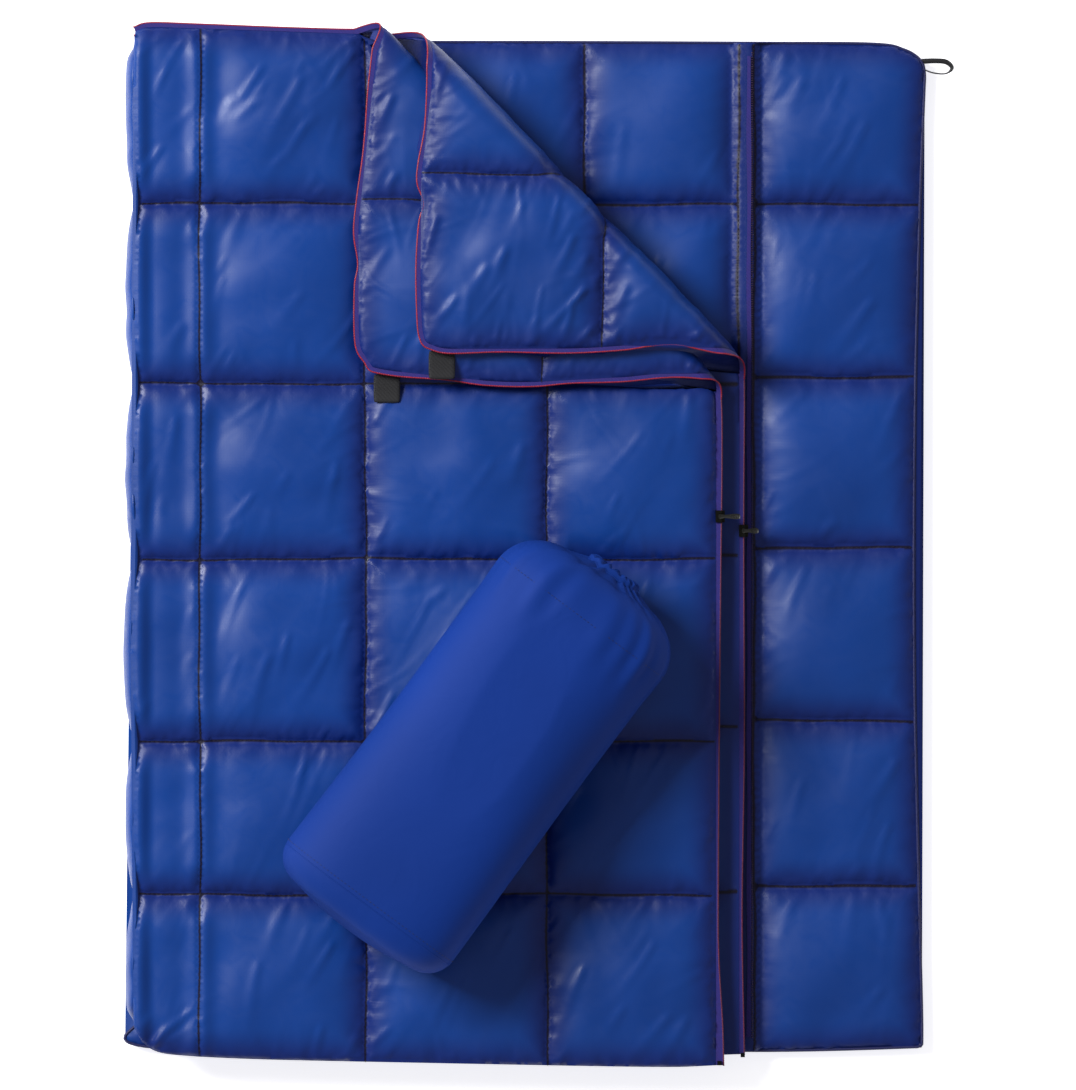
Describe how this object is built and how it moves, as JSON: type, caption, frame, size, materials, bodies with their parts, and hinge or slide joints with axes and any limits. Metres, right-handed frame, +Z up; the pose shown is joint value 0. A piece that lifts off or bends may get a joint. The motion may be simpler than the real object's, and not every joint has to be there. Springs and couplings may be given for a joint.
{
  "type": "double sleeping bag",
  "caption": "Quilted two-person sleeping bag with two zipped covers, head corner folded back, hanging loop, and a packed stuff sack lying on it.",
  "frame": {"origin": "centre of the footprint, on the ground under the back quilt", "axes": "+X to the open side with the zips and the hanging loop, +Y to the head end, +Z up"},
  "size_m": [1.518, 1.894, 0.3383],
  "materials": {
    "shell": "satin",
    "lining": "satin",
    "fill": "matte",
    "binding": "matte",
    "tape": "matte",
    "coil": "satin",
    "metal": "satin",
    "pull": "satin",
    "webbing": "matte",
    "sack": "matte"
  },
  "bodies": {
    "back": {"back_shell": "shell", "back_fill": "fill", "back_lining": "lining", "back_binding": "binding", "back_zip_tape": "tape", "back_zip_coil": "coil"},
    "hanging_loop": {"hanging_loop": "webbing"},
    "covers": {"inner_cover_shell": "shell", "inner_cover_fill": "fill", "inner_cover_lining": "lining", "inner_head_tape": "tape", "inner_head_coil": "coil", "inner_side_tape": "tape", "inner_side_coil": "coil", "inner_zip_stop": "metal", "outer_cover_shell": "shell", "outer_cover_fill": "fill", "outer_cover_lining": "lining", "outer_head_tape": "tape", "outer_head_coil": "coil", "outer_side_tape": "tape", "outer_side_coil": "coil", "outer_zip_stop": "metal"},
    "sack": {"sack_barrel": "sack", "sack_base": "sack", "sack_mouth": "sack", "sack_drawcord_channel": "sack", "sack_contents": "fill"},
    "inner_corner": {"inner_corner_shell": "shell", "inner_corner_fill": "fill", "inner_corner_lining": "lining", "inner_corner_tape": "tape", "inner_corner_coil": "coil"},
    "inner_tab": {"inner_tab": "webbing"},
    "inner_slider": {"inner_slider": "metal", "inner_slider_pin": "metal"},
    "inner_pull": {"inner_pull": "pull"},
    "outer_corner": {"outer_corner_shell": "shell", "outer_corner_fill": "fill", "outer_corner_lining": "lining", "outer_corner_tape": "tape", "outer_corner_coil": "coil"},
    "outer_tab": {"outer_tab": "webbing"},
    "outer_slider": {"outer_slider": "metal", "outer_slider_pin": "metal"},
    "outer_pull": {"outer_pull": "pull"}
  },
  "joints": [
    {"name": "covers_open", "type": "hinge", "parent": "back", "child": "covers", "pos_m": [-0.759, 0, 0.049], "axis": [0, -1, 0], "range_deg": [0, 165]},
    {"name": "outer_corner_fold", "type": "hinge", "parent": "covers", "child": "outer_corner", "pos_m": [0.00808, 0.6295, 0.115], "axis": [-0.6978, 0.7163, 0], "range_deg": [0, 180]},
    {"name": "inner_corner_fold", "type": "hinge", "parent": "covers", "child": "inner_corner", "pos_m": [0.07974, 0.64392, 0.115], "axis": [-0.6978, 0.7163, 0], "range_deg": [0, 180]},
    {"name": "outer_tab_flip", "type": "hinge", "parent": "outer_corner", "child": "outer_tab", "pos_m": [-0.27435, 0.31087, 0.131], "axis": [-0.9997, 0.0262, 0], "range_deg": [0, 180]},
    {"name": "inner_tab_flip", "type": "hinge", "parent": "inner_corner", "child": "inner_tab", "pos_m": [-0.17405, 0.35319, 0.163], "axis": [-0.9997, 0.0262, 0], "range_deg": [0, 180]},
    {"name": "outer_slider_run", "type": "slide", "parent": "covers", "child": "outer_slider", "axis": [0, 1, 0], "range_m": [-0.975, 0.21]},
    {"name": "outer_pull_swing", "type": "hinge", "parent": "outer_slider", "child": "outer_pull", "pos_m": [0.332, 0.052, 0.107], "axis": [0, -1, 0], "range_deg": [0, 130]},
    {"name": "inner_slider_run", "type": "slide", "parent": "covers", "child": "inner_slider", "axis": [0, 1, 0], "range_m": [-0.935, 0.28]},
    {"name": "inner_pull_swing", "type": "hinge", "parent": "inner_slider", "child": "inner_pull", "pos_m": [0.375, 0.026, 0.075], "axis": [0, -1, 0], "range_deg": [0, 130]},
    {"name": "sack_lift", "type": "slide", "parent": "covers", "child": "sack", "axis": [0, 0, 1], "range_m": [0, 0.3]},
    {"name": "loop_swing", "type": "hinge", "parent": "back", "child": "hanging_loop", "pos_m": [0.7045, 0.872, 0.0225], "axis": [0, -1, 0], "range_deg": [-20, 90]}
  ],
  "couplings": [
    {"joint": "inner_corner_fold", "follows": "outer_corner_fold", "ratio": 1}
  ]
}
